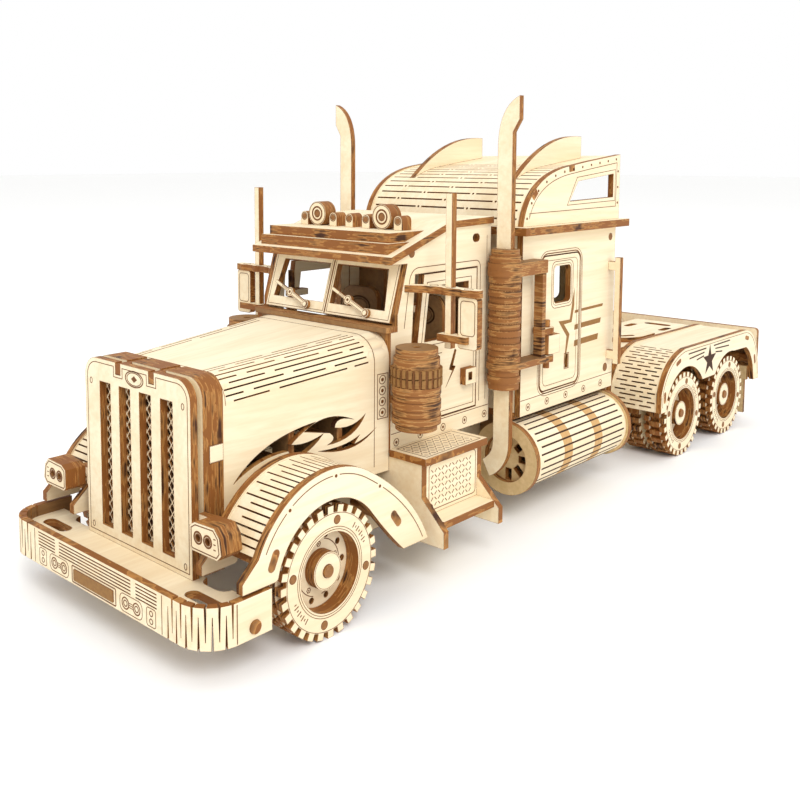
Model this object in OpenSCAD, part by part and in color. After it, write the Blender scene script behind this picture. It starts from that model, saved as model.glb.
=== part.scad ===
// Plywood kit model of a long-nosed tractor truck with a sleeper cab.
// Flat laser-cut plates, bent kerfed sheets and stacks of discs, joined face to face.
// Frame: +Z up, front of the truck towards -Y, its left side towards +X, ground at z = 0.

/* [Sheet] */
// Thickness of the plywood sheet
ply = 2; // [1.9:0.05:2.1]
// Thickness of the kerfed sheet that is bent into skins
skin = 1.5; // [1.3:0.1:1.6]
// Gap all round a press-fitted peg or tenon
fit = 0.04; // [0.02:0.01:0.08]
// Radial clearance of a shaft or hinge pin in its bore
run = 0.06; // [0.04:0.01:0.09]
// Glue line left between plates that are stacked
seam = 0.02; // [0.01:0.01:0.03]

/* [Wheels] */
// Radius over the tread blocks
wheel_r = 16; // [15.5:0.1:16.2]
// Number of tread blocks round a tyre
treads = 28; // [24:2:30]
// Radius of the axle dowels
axle_r = 1.5; // [1.4:0.05:1.6]
// Place of the front axle along the truck
front_axle_y = -117; // [-118:0.5:-116]
// Place of the first rear axle along the truck
rear_axle_y = 77; // [76:0.5:78]
// Distance between the two rear axles
tandem = 41; // [40:0.5:42]

/* [Body] */
// Half width of the bumper
bumper_w = 42.5; // [42:0.1:43]
// Half width of the grille
grille_w = 22; // [21.8:0.1:22.2]
// Half width of the cab
cab_w = 27; // [26.8:0.1:27.2]
// Half width of the sleeper
sleeper_w = 32.5; // [32.3:0.1:32.7]

/* [Motion] */
// Clearance between a door and its opening
door_gap = 0.35; // [0.3:0.05:0.5]
// Space between a wiper arm and the window frame
wiper_gap = 0.15; // [0.1:0.05:0.3]

/* [Hidden] */
$fn = 48;
pale = "wheat";
edge = "peru";
dark = "sienna";

axle_z = wheel_r;
axle_ys = [front_axle_y, rear_axle_y, rear_axle_y + tandem];
rail_in = 10;
rail_out = rail_in + ply;
rail_z = 20;
rail_top = 32;
rail_front = -133;
rail_back = 152;
member_ys = [-128, -74, -44, -8, 26, 60, 97, 136];
floor_top = rail_top + ply;

bed_z = 14;
bumper_z = 9.5;
bumper_h = 9.5;
bumper_front = -155;
bumper_back = -136.5;
bumper_bend = 9;
bumper_peg = [-141.5, 12];
grille_y = -142.5;
grille_top = 62.6;
mesh_t = 1.5;
surround_y = grille_y + ply + mesh_t;
hood_front = surround_y + 3 * ply;
hood_back = -79;
hood_z = 28;
pod_y = -146.5;

cab_back = -33;
cab_z = 33;
roof_tip = [-80, 84.5];
roof_knee = [-54, 93];
roof_end = [cab_back, 93.5];
roof_slope = (roof_knee[1] - roof_tip[1]) / (roof_knee[0] - roof_tip[0]);
band_z = 89.9;
lamp_z = 92.6;
lamp_y = -67;
screen_tilt = 17.6;
screen_foot = [-77.3, 68.2];
screen_h = 17.2;
screen_rail = 3.2;
wiper_pivot = [16.5, 1.7];
wiper_rest = 158;
wiper_apart = 23.8;

sleeper_front = -24;
sleeper_back = 34;
sleeper_top = 89.5;
drip_t = 2.5;
fairing_z = sleeper_top + drip_t;
fairing_w = 32.5;
fin_x = 20.8;

cab_hinge = [24, -67.5];
sleeper_hinge = [35, -13.6];
sleeper_door_box = [-12.8, 39, 10.2, 82];
pin_r = 1;

arch_r = 17.6;
fender_out = 42;
fender_in = 28;
rear_out = 41;
rear_in = 21;
rear_arch_r = 18.3;

muffler = [32.3, -33];
muffler_low = 50;
muffler_high = 78;
cleaner = [34.4, -77];
box_ends = [hood_back + 0.1, -54];
step_z = 15.5;
tank = [30, 20.4];
tank_r = 10.6;
tank_ys = [-26, 30];

// ---- shared shapes ----

// A plate from x to x + t, less the glue line; its 2D outline is drawn in (y, z)
module plate_x(x, t = ply) translate([x, 0, 0]) rotate([90, 0, 90]) linear_extrude(t - seam) children();

// A plate from y to y + t, less the glue line; its 2D outline is drawn in (x, z)
module plate_y(y, t = ply) translate([0, y + t, 0]) rotate([90, 0, 0]) linear_extrude(t - seam) children();

// A plate from z to z + t, less the glue line; its 2D outline is drawn in (x, y)
module plate_z(z, t = ply) translate([0, 0, z]) linear_extrude(t - seam) children();

// The same piece on the left and on the right of the truck
module both_sides() {
    children();
    mirror([1, 0, 0]) children();
}

// Rectangle between two corners
module box2(x0, y0, x1, y1) translate([x0, y0]) square([x1 - x0, y1 - y0]);

// Rectangle between two corners with round corners
module round_box(x0, y0, x1, y1, r) {
    box2(x0 + r, y0, x1 - r, y1);
    box2(x0, y0 + r, x1, y1 - r);
    for (x = [x0 + r, x1 - r], y = [y0 + r, y1 - r]) translate([x, y]) circle(r);
}

// Oblong with round ends, l long and w wide over all
module oblong(x, y, l, w, turn = 0) translate([x, y]) rotate(turn) {
    square([l - w, w], center = true);
    for (s = [-1, 1]) translate([s * (l - w) / 2, 0]) circle(d = w);
}

function polar(r, a) = [r * cos(a), r * sin(a)];

function arc(c, r, a0, a1, n) = [for (i = [0:n]) c + polar(r, a0 + (a1 - a0) * i / n)];

// Curve from a to c that leaves and arrives towards b, without its first point a
function bezier(a, b, c, n) = [for (i = [1:n])
    let (u = i / n, v = 1 - u) v * v * a + 2 * u * v * b + u * u * c];

function reversed(p) = [for (i = [len(p) - 1:-1:0]) p[i]];

// Points of p moved by d to the left of the way the path runs
function shifted(p, d) = [for (i = [0:len(p) - 1])
    let (v = p[min(i + 1, len(p) - 1)] - p[max(i - 1, 0)]) p[i] + d * [-v[1], v[0]] / norm(v)];

// Sheet that follows a path, between two distances from it
module sheet(path, from, to) polygon(concat(shifted(path, from), reversed(shifted(path, to))));

// ---- chassis ----

module rail_outline() difference() {
    union() {
        box2(rail_front, rail_z, rail_back, rail_top);
        for (y = axle_ys) {
            translate([y, axle_z]) circle(5);
            box2(y - 5, axle_z, y + 5, rail_z + 1);
        }
    }
    for (y = axle_ys) translate([y, axle_z]) circle(axle_r + run);
    for (y = member_ys) box2(y - fit, 24 - fit, y + ply + fit, 28 + fit);
    for (y = [-92, -58, 9, 43, 84, 118]) oblong(y, 26, 14, 5);
}

module chassis_rails() color(edge) both_sides() plate_x(rail_in) rail_outline();

module cross_members() color(edge) {
    for (y = member_ys) plate_y(y) difference() {
        union() {
            box2(-rail_in, 21, rail_in, 31);
            box2(-rail_out, 24, rail_out, 28);
        }
        oblong(0, 26, 9, 4);
    }
    both_sides() for (y = [-16, 16]) plate_y(y) difference() {
        box2(rail_out, 20, 24, rail_top);
        translate(tank) circle(tank_r + 0.1);
    }
}

module deck_plates() color(pale) {
    plate_z(rail_top) difference() {
        box2(-15, sleeper_back, 15, 150);
        for (y = [50, 76, 118]) oblong(0, y, 14, 6);
    }
    plate_z(rail_top + ply) difference() {
        box2(-13, sleeper_back, 13, 148);
        for (y = [50, 76, 118]) oblong(0, y, 14, 6);
    }
    plate_z(rail_top + 2 * ply) difference() {
        round_box(-14, sleeper_back + 2, 14, 146, 2);
        for (s = [-1, 1], y = [52, 66, 128]) oblong(s * 8, y, 9, 3, 90);
        oblong(0, 138, 12, 4);
    }
}

module fifth_wheel() color(dark) plate_z(rail_top + 3 * ply) difference() {
    union() {
        translate([0, 97]) circle(14);
        box2(-14, 97, 14, 106);
    }
    translate([0, 97]) circle(2);
    polygon([[-1.6, 97], [1.6, 97], [6, 112], [-6, 112]]);
    for (s = [-1, 1]) oblong(s * 8.5, 92, 7, 2.4, 60 * s);
}

module rear_bar() color(pale) {
    plate_y(rail_back) difference() {
        round_box(-39, 25, 39, 39, 1.5);
        for (s = [-1, 1]) oblong(s * 12, 32, 10, 3);
    }
    both_sides() plate_y(rail_back + ply, 1) difference() {
        round_box(24, 27.5, 37.5, 36.5, 1);
        for (x = [27.5, 34]) translate([x, 32]) circle(1.6);
    }
}

// ---- wheels ----

// Toothed disc outline; lag turns it by that share of one tread block
module toothed(lag) {
    step = 360 / treads;
    root = wheel_r - 1.7;
    polygon([for (i = [0:treads - 1], k = [[-0.5, 0], [-0.3, 0], [-0.27, 1], [0.27, 1], [0.3, 0]])
        polar(k[1] == 1 ? wheel_r : root, (i + k[0] + lag) * step - 90)]);
}

// One ply of a tyre with a round hole, set at axle y
module tyre_ply(y, x, t, lag, hole) plate_x(x, t) translate([y, axle_z]) difference() {
    toothed(lag);
    circle(hole);
}

// The ply that carries the hub, with its ring of cooling holes
module hub_ply(y, x) plate_x(x) translate([y, axle_z]) difference() {
    toothed(0);
    circle(axle_r + fit / 2);
    for (i = [0:9]) rotate(36 * i) translate([7.9, 0]) circle(0.75);
}

module front_tyres() color(pale) both_sides() {
    tyre_ply(front_axle_y, 39.5, ply, 0, 9.6);
    tyre_ply(front_axle_y, 37.5, ply, 0.5, 9.6);
    hub_ply(front_axle_y, 35.5);
    tyre_ply(front_axle_y, 33.5, ply, 0.5, axle_r + fit / 2);
}

module rear_tyres(y) color(pale) both_sides() {
    tyre_ply(y, 38, ply, 0, 9.8);
    tyre_ply(y, 34, 2 * ply, 0.5, 9.8);
    hub_ply(y, 32);
    tyre_ply(y, 26, 2 * ply, 0.5, axle_r + fit / 2);
    tyre_ply(y, 22, 2 * ply, 0, axle_r + fit / 2);
}

// Axle dowel, and on each side the hub cap from x0 to x1 and the spacer up to the tyre
module axle(y, x0, x1, tip, spacer_x) color(dark) {
    translate([-tip, y, axle_z]) rotate([0, 90, 0]) cylinder(r = axle_r, h = 2 * tip);
    both_sides() {
        plate_x(x0, x1 - x0) translate([y, axle_z]) difference() {
            circle(4.6);
            circle(axle_r + fit / 2);
        }
        plate_x(rail_out + 0.2, spacer_x - rail_out - 0.2) translate([y, axle_z]) difference() {
            circle(3.2);
            circle(axle_r + fit / 2);
        }
    }
}

module front_axle() axle(front_axle_y, 37.5, 40.5, 41, 33.5);
module rear_tyres_1() rear_tyres(rear_axle_y);
module rear_axle_1() rear_axle(rear_axle_y);
module rear_tyres_2() rear_tyres(rear_axle_y + tandem);
module rear_axle_2() rear_axle(rear_axle_y + tandem);

// Rear axle, with the spacer discs between its twin tyres as well
module rear_axle(y) {
    axle(y, 34, 39, 39.6, 22);
    color(dark) both_sides() plate_x(30) translate([y, axle_z]) difference() {
        circle(9);
        circle(axle_r + fit / 2);
    }
}

// ---- front end ----

// Plan of the space the bumper goes round, set in from its outer face
module bumper_plan(inset) difference() {
    w = bumper_w - inset;
    round_box(-w, bumper_front + inset, w, bumper_back + 20, bumper_bend - inset);
    box2(-bumper_w, bumper_back, bumper_w, bumper_back + 20);
}

module bumper_band() color(pale) difference() {
    plate_z(bumper_z, bumper_h) difference() {
        bumper_plan(0);
        bumper_plan(ply);
    }
    plate_x(-bumper_w - 1, 2 * bumper_w + 2) translate(bumper_peg) circle(1.5 + fit);
}

module bumper_bed() color(pale) plate_z(bed_z) difference() {
    union() {
        difference() {
            bumper_plan(ply);
            box2(-bumper_w, -139, bumper_w, bumper_back);
        }
        box2(-rail_out - 3, -140, rail_out + 3, -126);
    }
    for (s = [-1, 1]) {
        oblong(s * 31, -146.5, 11, 3.6);
        oblong(s * 27.5, -139, 9, 5);
    }
}

module dowel_pins() color(dark) both_sides() {
    plate_x(bumper_w - ply, ply + 0.5) translate(bumper_peg) circle(1.5);
    translate([cab_hinge[0], cab_hinge[1], floor_top]) cylinder(r = pin_r, h = 44);
    translate([sleeper_hinge[0], sleeper_hinge[1], 47.4]) cylinder(r = pin_r, h = 15.2);
}

module grille_outline() {
    box2(-grille_w, bed_z + ply, grille_w, grille_top - 5);
    box2(-grille_w + 5, grille_top - 6, grille_w - 5, grille_top);
    for (s = [-1, 1]) translate([s * (grille_w - 5), grille_top - 5]) circle(5);
}

module grille_face() color(pale) plate_y(grille_y) difference() {
    grille_outline();
    for (x = [-12.9, -4.3, 4.3, 12.9]) box2(x - 2.4, 19.5, x + 2.4, 56.8);
    for (x = [-7, 7]) box2(x - 1.1, grille_top - 3, x + 1.1, grille_top + 1);
}

// Lattice sheet: crossed diagonal bars inside a plain border
module grille_mesh() color(dark) plate_y(grille_y + ply, mesh_t) difference() {
    grille_outline();
    for (x = [-12.9, -4.3, 4.3, 12.9], i = [0:11], s = [-1, 1])
        translate([x + s * 1.15, 21.2 + 3.05 * i]) rotate(45) square(1.25, center = true);
}

module grille_surround() color(edge) for (i = [0:2]) plate_y(surround_y + ply * i) difference() {
    grille_outline();
    box2(-grille_w + 4, 19, grille_w - 4, grille_top - 4);
    for (x = [-7, 7]) box2(x - 1.1, grille_top - 3, x + 1.1, grille_top + 1);
}

module hood_section(y, w, top) plate_y(y, 0.01 + seam) {
    box2(-w, hood_z, w, top - 7);
    for (s = [-1, 1]) translate([s * (w - 7), top - 7]) circle(7, $fn = 32);
}

module hood_solid(inset) hull() {
    hood_section(hood_front, 21.5 - inset, 62 - inset);
    hood_section(hood_back - 2 * seam, 26.5 - inset, 66 - inset);
}

module hood_skin() color(pale) difference() {
    hood_solid(0);
    hood_solid(skin);
    translate([-20, hood_front - 1, hood_z - 1]) cube([40, 2, 28]);
    translate([-24.9, hood_back - 1, hood_z - 1]) cube([49.8, 2, 31]);
    translate([-40, hood_front - 1, hood_z - 1]) cube([80, 60, 1.001]);
}

module hood_formers() color(edge) for (y = [-112, -96]) plate_y(y) {
    w = 21.5 - skin + 5 * (y - hood_front) / (hood_back - hood_front) - 0.2;
    difference() {
        box2(-w, rail_top, w, 53);
        box2(-w + 6, rail_top + 5, w - 6, 47);
    }
}

module headlight_pods() color(pale) both_sides() {
    for (i = [0:2]) plate_y(pod_y + ply * i) difference() {
        polygon([[26.4, 27], [26.4, 31.8], [28.2, 32.9], [35, 33.2], [36.8, 31.3],
            [37.4, 27.6], [36, 26.2], [27.2, 26.2]]);
        if (i == 0) for (x = [29.4, 32.8]) translate([x, 29.6]) circle(0.9);
    }
    plate_y(pod_y + 3 * ply) {
        box2(grille_w + 0.05, 27, 25.9, 31.5);
        box2(25, 29.4, 29.5, 31.5);
    }
}

// ---- fenders ----

// Outer edge of a front fender, from its front end over the wheel to its rear foot
front_edge = concat(arc([0, 0], 25, 156, 60, 20), bezier([12.5, 21.65], [30, 11.5], [36, -2], 12));
front_opening = concat([[26, -2]], bezier([26, -2], [20.6, 2.9], [13.9, 10.8], 8),
    arc([0, 0], arch_r, 41, 167, 24));

// Outer edge of a rear fender, from its front foot over both wheels to its rear foot
rear_span = [rear_axle_y - 21, rear_axle_y + tandem + 32];
rear_edge = concat([[rear_span[0], 20], [rear_span[0], 27]],
    bezier([rear_span[0], 27], [rear_span[0] + 4, 39.5], [rear_span[0] + 19, 41.5], 12),
    [[rear_span[1] - 17, 41]],
    bezier([rear_span[1] - 17, 41], [rear_span[1] - 2, 40.5], [rear_span[1], 18], 12));
rear_opening = concat([[rear_span[1] - 5.5, 18]],
    bezier([rear_span[1] - 6, 22], [rear_span[1] - 9, 31], [rear_span[1] - 15, 33.5], 6),
    arc([rear_axle_y + tandem, axle_z], rear_arch_r, 78, 143, 12),
    arc([rear_axle_y, axle_z], rear_arch_r, 37, 154, 24), [[rear_span[0] + 4.4, 20]]);

module front_fender_outline() translate([front_axle_y, axle_z]) difference() {
    polygon(concat([[-27.5, 3.6], [-27.5, 6]], front_edge, front_opening, [[-17.9, 3.6]]));
    for (h = front_braces) oblong(h[0], h[1], 5 + 2 * fit, ply + 2 * fit, h[2]);
}

module rear_fender_outline() difference() {
    polygon(concat(rear_edge, rear_opening));
    for (h = rear_braces) oblong(h[0], h[1], 4 + 2 * fit, skin + 2 * fit, h[2]);
}

// Braces through the fender plates: place across the outline and turn
front_braces = [[-18.4, 8.6, 65], [23, 6.8, -52]];
rear_braces = [[rear_span[0] + 2.85, 25.5, 90], [rear_span[0] + 13.5, 37, 20],
    [rear_span[1] - 14.5, 37.4, -14], [rear_span[1] - 5, 27, -74]];

module front_fender_plates() color(pale) both_sides()
    for (x = [fender_in - ply, fender_out - ply]) plate_x(x) front_fender_outline();

module rear_fender_plates() color(pale) both_sides()
    for (x = [rear_in - ply, rear_out - ply]) plate_x(x) rear_fender_outline();

module front_fender_skins() color(pale) both_sides()
    plate_x(fender_in, fender_out - ply - fender_in) translate([front_axle_y, axle_z])
        sheet(front_edge, -0.4, -0.4 - skin);

module rear_fender_skins() color(pale) both_sides()
    plate_x(rear_in, rear_out - ply - rear_in) sheet(rear_edge, -0.4, -0.4 - skin);

module fender_braces() color(edge) both_sides() {
    plate_x(fender_in - ply, fender_out - fender_in + ply) translate([front_axle_y, axle_z]) {
        for (h = front_braces) oblong(h[0], h[1], 5, ply, h[2]);
    }
    plate_x(rear_in - ply, rear_out - rear_in + ply)
        for (h = rear_braces) oblong(h[0], h[1], 4, skin, h[2]);
}

module mudflaps() color(edge) both_sides() plate_y(rear_span[1] - 8.2, skin) {
    box2(rear_in + 1, 3.5, rear_out - ply - 1, 20);
    box2(rear_in, 18, rear_out - ply, 24);
}

// ---- cab ----

function roof_z(y) = roof_tip[1] + roof_slope * (y - roof_tip[0]);

cab_door = [[-67.5, 39], [-67.5, 62], [-64.8, 80.6], [-40, 80.6], [-40, 39]];
cab_window = [[-64.6, 61.5], [-62.3, 77], [-44, 77], [-44, 61.5]];

module door_opening() polygon([[cab_door[0][0] - 2.7, 38.6], [cab_door[0][0] - 2.7, 62.2],
    [-68.8, 81], [-40 + door_gap, 81], [-40 + door_gap, 38.6]]);

module cab_sides() color(pale) both_sides() plate_x(cab_w - ply) difference() {
    polygon([[hood_back, cab_z], [hood_back, 66], [-76.2, 66], [-76.2, 70.5], [-72.2, 84.2],
        [-79.4, 84.3], [-79.4, roof_z(-79.4)], roof_knee, roof_end, [cab_back, cab_z]]);
    door_opening();
    oblong(-40.5, 89.5, 3.4, 2.4);
    translate([-70.4, 87]) circle(1.1);
}

module floor_plates() color(edge) {
    plate_z(rail_top) difference() {
        box2(ply - cab_w, hood_back, cab_w - ply, cab_back);
        oblong(0, -56, 20, 8);
    }
    plate_z(rail_top) difference() {
        box2(ply - sleeper_w, sleeper_front, sleeper_w - ply, sleeper_back);
        oblong(0, 5, 20, 8);
    }
}

module cab_bulkheads() color(edge) {
    plate_y(hood_back) box2(ply - cab_w, floor_top, cab_w - ply, 66);
    plate_y(cab_back - ply) difference() {
        box2(ply - cab_w, floor_top, cab_w - ply, 93.4);
        round_box(-14, 62, 14, 82, 3);
    }
    plate_z(66, skin) difference() {
        round_box(-cab_w, hood_back - 1.6, cab_w, -72, 1.2);
        box2(-cab_w - 1, -76.2, cab_w + 1, -71);
    }
}

module cab_roof() color(edge) plate_x(-28, 56)
    polygon([roof_tip, roof_knee, roof_end, roof_end + [0, ply], roof_knee + [0, ply], roof_tip + [0, ply]]);

// Place along the truck where the top of the roof plate reaches height z
function roof_y(z) = roof_tip[0] + (z - ply - roof_tip[1]) / roof_slope;

// Band with a level top, from its front edge back to the roof plate; low is its foot where the plate is lower
module visor_band(w, front, high, low = 0) plate_x(-w, 2 * w) {
    plate_top = roof_z(front) + ply;
    polygon(concat(
        [[front, max(low, plate_top)]],
        low > plate_top ? [[roof_y(low), low]] : [],
        [[roof_y(high), high], [front, high]]
    ));
}

module visor() color(edge) {
    visor_band(25.5, -78.6, band_z);
    visor_band(24, -76.4, lamp_z - seam, band_z + seam);
}

module roof_lamps() color(pale) {
    lamp_post(0);
    both_sides() lamp_group();
}

module lamp_group() {
    translate([13, lamp_y + 4.5, lamp_z + 3.6]) rotate([90, 0, 0]) difference() {
        cylinder(r = 3.6, h = 4.5);
        translate([0, 0, 2.5]) cylinder(r = 1, h = 3);
    }
    for (x = [6.6, 18.8]) lamp_post(x);
}

// Small marker lamp with a round head
module lamp_post(x) plate_y(lamp_y + 0.3, 4.2) {
    box2(x - 1.5, lamp_z, x + 1.5, lamp_z + 2.6);
    translate([x, lamp_z + 2.6]) circle(1.5);
}

// Places children on the window frame: X across, Y up along the pane, Z out of the pane
module on_screen(lift = 0) translate([0, screen_foot[0], screen_foot[1]])
    rotate([90 - screen_tilt, 0, 0]) translate([0, 0, lift]) children();

module windshield_frame() color(pale) on_screen(-ply) linear_extrude(ply) difference() {
    box2(ply - cab_w, 0, cab_w - ply, screen_h);
    for (s = [0, 1]) mirror([s, 0])
        polygon([[1.4, screen_rail], [22.4, screen_rail], [20.9, screen_h - 2.4], [1.4, screen_h - 2.4]]);
    for (x = [0, wiper_apart]) translate(wiper_pivot - [x, 0]) circle(0.75 + run);
}

// Wiper for the left pane: blade, arm with a round boss, and its pivot peg; the other lies parallel to it
module wiper() on_screen() translate([wiper_pivot[0], wiper_pivot[1], 0]) {
    translate([0, 0, wiper_gap]) linear_extrude(1) rotate(wiper_rest) {
        circle(1.3);
        box2(0, -0.7, 9, 0.7);
        translate([8, 0]) circle(1.4);
        box2(7, -0.45, 15.5, 0.45);
    }
    translate([0, 0, -ply]) cylinder(r = 0.75, h = ply + wiper_gap + 1.3);
}

module wiper_left() color(pale) wiper();
module wiper_right() color(pale) translate([-wiper_apart, 0, 0]) wiper();

module cab_interior() color(edge) {
    plate_z(58) {
        box2(ply - cab_w, -77, cab_w - ply, -71);
        box2(-20.5, -77, 20.5, -63.5);
    }
    plate_y(-72) box2(-21, floor_top, 21, 58 - seam);
    for (x = [-13, 13]) {
        plate_y(-48) {
            box2(x - 7.5, floor_top, x + 7.5, 66);
            round_box(x - 7.5, 60, x + 7.5, 72, 4);
        }
        plate_z(46) box2(x - 7.5, -62, x + 7.5, -48 - seam);
        plate_y(-62) box2(x - 7.5, floor_top, x + 7.5, 46 - seam);
    }
}

// Cab door: leaf, two hinge lugs inside it, handle block outside
module cab_door() color(pale) {
    plate_x(cab_w - ply) difference() {
        polygon(cab_door);
        polygon(cab_window);
        polygon([[-54.8, 46.5], [-51.4, 51.4], [-53, 51.9], [-50.4, 57.6], [-49.6, 57.2],
            [-51.2, 52.8], [-49.9, 52.4]]);
    }
    for (z = [44, 70]) plate_z(z) difference() {
        union() {
            translate(cab_hinge) circle(1.9);
            box2(cab_hinge[0] - 1.9, cab_hinge[1], cab_w - ply, cab_hinge[1] + 5.5);
        }
        translate(cab_hinge) circle(pin_r + run);
        box2(cab_w - ply - seam, -80, cab_w, -50);
    }
    plate_x(cab_w) difference() {
        box2(-47.6, 46.6, -42.4, 51.4);
        box2(-46.2, 47.9, -44.4, 50.2);
    }
}

module cab_door_left() cab_door();
module cab_door_right() mirror([1, 0, 0]) cab_door();

// Mirrors on cross bars, with their lower clamps, and the tall side posts through the bars
module mirrors() color(edge) both_sides() {
    plate_z(76.5) difference() {
        union() {
            round_box(31, -69.6, 48.5, -66.4, 1.2);
            polygon([[cab_w, -73.4], [cab_w, -69.8], [31.4, -66.7], [33, -69.5], [30, -71.4]]);
            for (x = [33, 38.5, 44.5]) translate([x, -68]) circle(2.3);
        }
        box2(37.5 - fit, -69 - fit, 39.5 + fit, -67 + fit);
    }
    plate_y(-69) round_box(41.8, 62.5, 48.2, 76.5 - seam, 1);
    plate_z(64) difference() {
        box2(36, -70.5, 45.5, -67);
        box2(37.5 - fit, -69 - fit, 39.5 + fit, -66);
        box2(41.8 - fit, -69 - fit, 46, -66);
    }
}

module mirror_posts() color(pale) both_sides() plate_y(-69) {
    box2(37.5, 62, 39.5, 103.6);
}

// ---- air cleaners, exhausts, boxes and tanks ----

module air_cleaners() color(dark) both_sides() translate(concat(cleaner, [0])) {
    plate_z(41) circle(5.6);
    for (i = [0:4]) plate_z(43 + ply * i) {
        circle(i % 2 == 0 ? 6.6 : 6.4);
        if (i == 2) box2(cab_w - cleaner[0], -2, 0, 2);
    }
    for (i = [0:1]) plate_z(53 + 2.5 * i, 2.5) polygon([for (k = [0:47])
        let (r = k % 2 == 0 ? 6.7 : 6.1, a = (k + i) * 7.5) r * [cos(a), sin(a)]]);
    plate_z(58, 2.5) circle(6.2);
    plate_z(60.5, 2.5) difference() {
        circle(5.7);
        circle(1.1);
    }
}

module mufflers() color(dark) both_sides() translate(concat(muffler, [0])) {
    for (i = [0:2]) plate_z(44 + ply * i) circle(i % 2 == 0 ? 4.6 : 4.9);
    for (i = [0:12]) plate_z(muffler_low + ply * (i + 1)) circle(i % 2 == 0 ? 4.9 : 4.65);
    plate_z(muffler_high + 2 * ply) circle(4.7);
    plate_z(muffler_high + 3 * ply) circle(4.2);
}

module muffler_brackets() color(edge) both_sides() {
    for (z = [muffler_low, muffler_high, muffler_high + ply]) plate_z(z) {
        translate(muffler) circle(5.2);
        box2(sleeper_w, muffler[1], 37.5, -17.6);
    }
    plate_y(-19.6) box2(34, muffler_low + ply, 37, muffler_high - seam);
}

module exhaust_tips() color(pale) both_sides() plate_y(muffler[1] - 1)
    polygon(concat([[29.7, 86], [34.8, 86], [34.8, 120.5], [37, 124.2], [37, 131]],
        bezier([37, 131], [29.9, 128], [29.7, 117], 10)));

module exhaust_elbows() color(pale) both_sides() plate_y(muffler[1] - 1)
    polygon(concat([[35.1, 44]], arc([22.4, 27], 12.7, 0, -62, 10),
        arc([22.4, 27], 7.1, -62, 0, 10), [[29.5, 44]]));

module toolboxes() color(pale) both_sides() {
    for (y = box_ends) plate_y(y) polygon([[rail_out, 22], [rail_out, rail_top], [38, rail_top], [38, 23],
        [45.5, 15.5], [45.5, 11], [26, 11], [26, 22]]);
    plate_x(36) box2(box_ends[0] + ply + seam, step_z + ply + seam, box_ends[1] - seam, rail_top - seam);
    plate_z(rail_top + seam) box2(cab_w, box_ends[0] - 0.4, 39.6, box_ends[1] + ply + 0.6);
}

module step_plates() color(pale) both_sides() plate_z(step_z)
    box2(26, box_ends[0] + ply + seam, 44, box_ends[1] - seam);

module fuel_tanks() color(pale) both_sides() plate_y(tank_ys[0], tank_ys[1] - tank_ys[0])
    translate(tank) difference() {
        circle(tank_r);
        circle(tank_r - skin);
    }

module tank_flanges() color(edge) both_sides() translate([tank[0], 0, tank[1]]) {
    plate_y(tank_ys[0] - ply) difference() {
        circle(tank_r + 0.9);
        circle(7.4);
    }
    plate_y(tank_ys[0] + 0.1) difference() {
        circle(tank_r - skin - 0.1);
        for (i = [0:7]) rotate(45 * i) box2(3.6, -1.1, 7.2, 1.1);
    }
    plate_y(tank_ys[1]) circle(tank_r + 0.9);
}

// ---- sleeper ----

module sleeper_sides() color(pale) both_sides() plate_x(sleeper_w - ply) difference() {
    box2(sleeper_front, cab_z, sleeper_back, sleeper_top);
    round_box(sleeper_door_box[0] - door_gap, sleeper_door_box[1] - door_gap,
        sleeper_door_box[2] + door_gap, sleeper_door_box[3] + door_gap, 2.5);
    translate([29, 40.5]) circle(1.3);
    translate([30.5, 86]) circle(1.1);
}

module sleeper_bulkheads() color(pale) {
    plate_y(sleeper_front) box2(ply - sleeper_w, floor_top, sleeper_w - ply, sleeper_top);
    plate_y(sleeper_back - ply) difference() {
        box2(ply - sleeper_w, floor_top, sleeper_w - ply, sleeper_top);
        round_box(-12, 62, 12, 78, 3);
    }
}

module sleeper_roof() color(edge) plate_z(sleeper_top, drip_t) box2(-35.5, -27, 35.5, 38);

// Sleeper door: leaf and the tab that turns on the hinge pin
module sleeper_door() color(pale) {
    plate_x(sleeper_w - ply) difference() {
        round_box(sleeper_door_box[0], sleeper_door_box[1], sleeper_door_box[2], sleeper_door_box[3], 2.2);
        round_box(-5.5, 66.5, 4.6, 78.5, 1.5);
        box2(2, 44.5, 4, 49);
    }
    plate_z(52, 6) difference() {
        union() {
            translate(sleeper_hinge) circle(2);
            box2(sleeper_w, sleeper_hinge[1], sleeper_hinge[0] + 2, sleeper_hinge[1] + 4.6);
            box2(sleeper_w, sleeper_hinge[1] + 1, sleeper_hinge[0], sleeper_hinge[1] + 5);
        }
        translate(sleeper_hinge) circle(pin_r + run);
        box2(0, -40, sleeper_w, 0);
    }
}

module sleeper_door_left() sleeper_door();
module sleeper_door_right() mirror([1, 0, 0]) sleeper_door();

module sleeper_hinge_bars() color(edge) both_sides() for (z = [49.6, 58.4]) plate_z(z) difference() {
    union() {
        translate(sleeper_hinge) circle(2.2);
        box2(sleeper_w, -17.5, sleeper_hinge[0] + 2, sleeper_hinge[1]);
    }
    translate(sleeper_hinge) circle(pin_r + fit);
    box2(0, -40, sleeper_w, 0);
}

module grab_rails() color(pale) both_sides() plate_y(29.5) {
    box2(35, 42, 37, 79);
    for (z = [43.5, 74.5]) box2(sleeper_w, z, 35.1, z + 3);
}

// Top edge of the roof fairing from its front foot to the rear
fairing_edge = concat([[-24, fairing_z]], bezier([-24, fairing_z], [-21.5, 107], [1, 110.2], 14),
    [[14, 111.8], [36, 114.2]]);

module fairing_sides() color(pale) both_sides() plate_x(fairing_w - ply) difference() {
    polygon(concat(fairing_edge, [[36, fairing_z]]));
    polygon([[3, 99], [8, 105.4], [31.5, 107.6], [31.5, 99.6]]);
}

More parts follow.
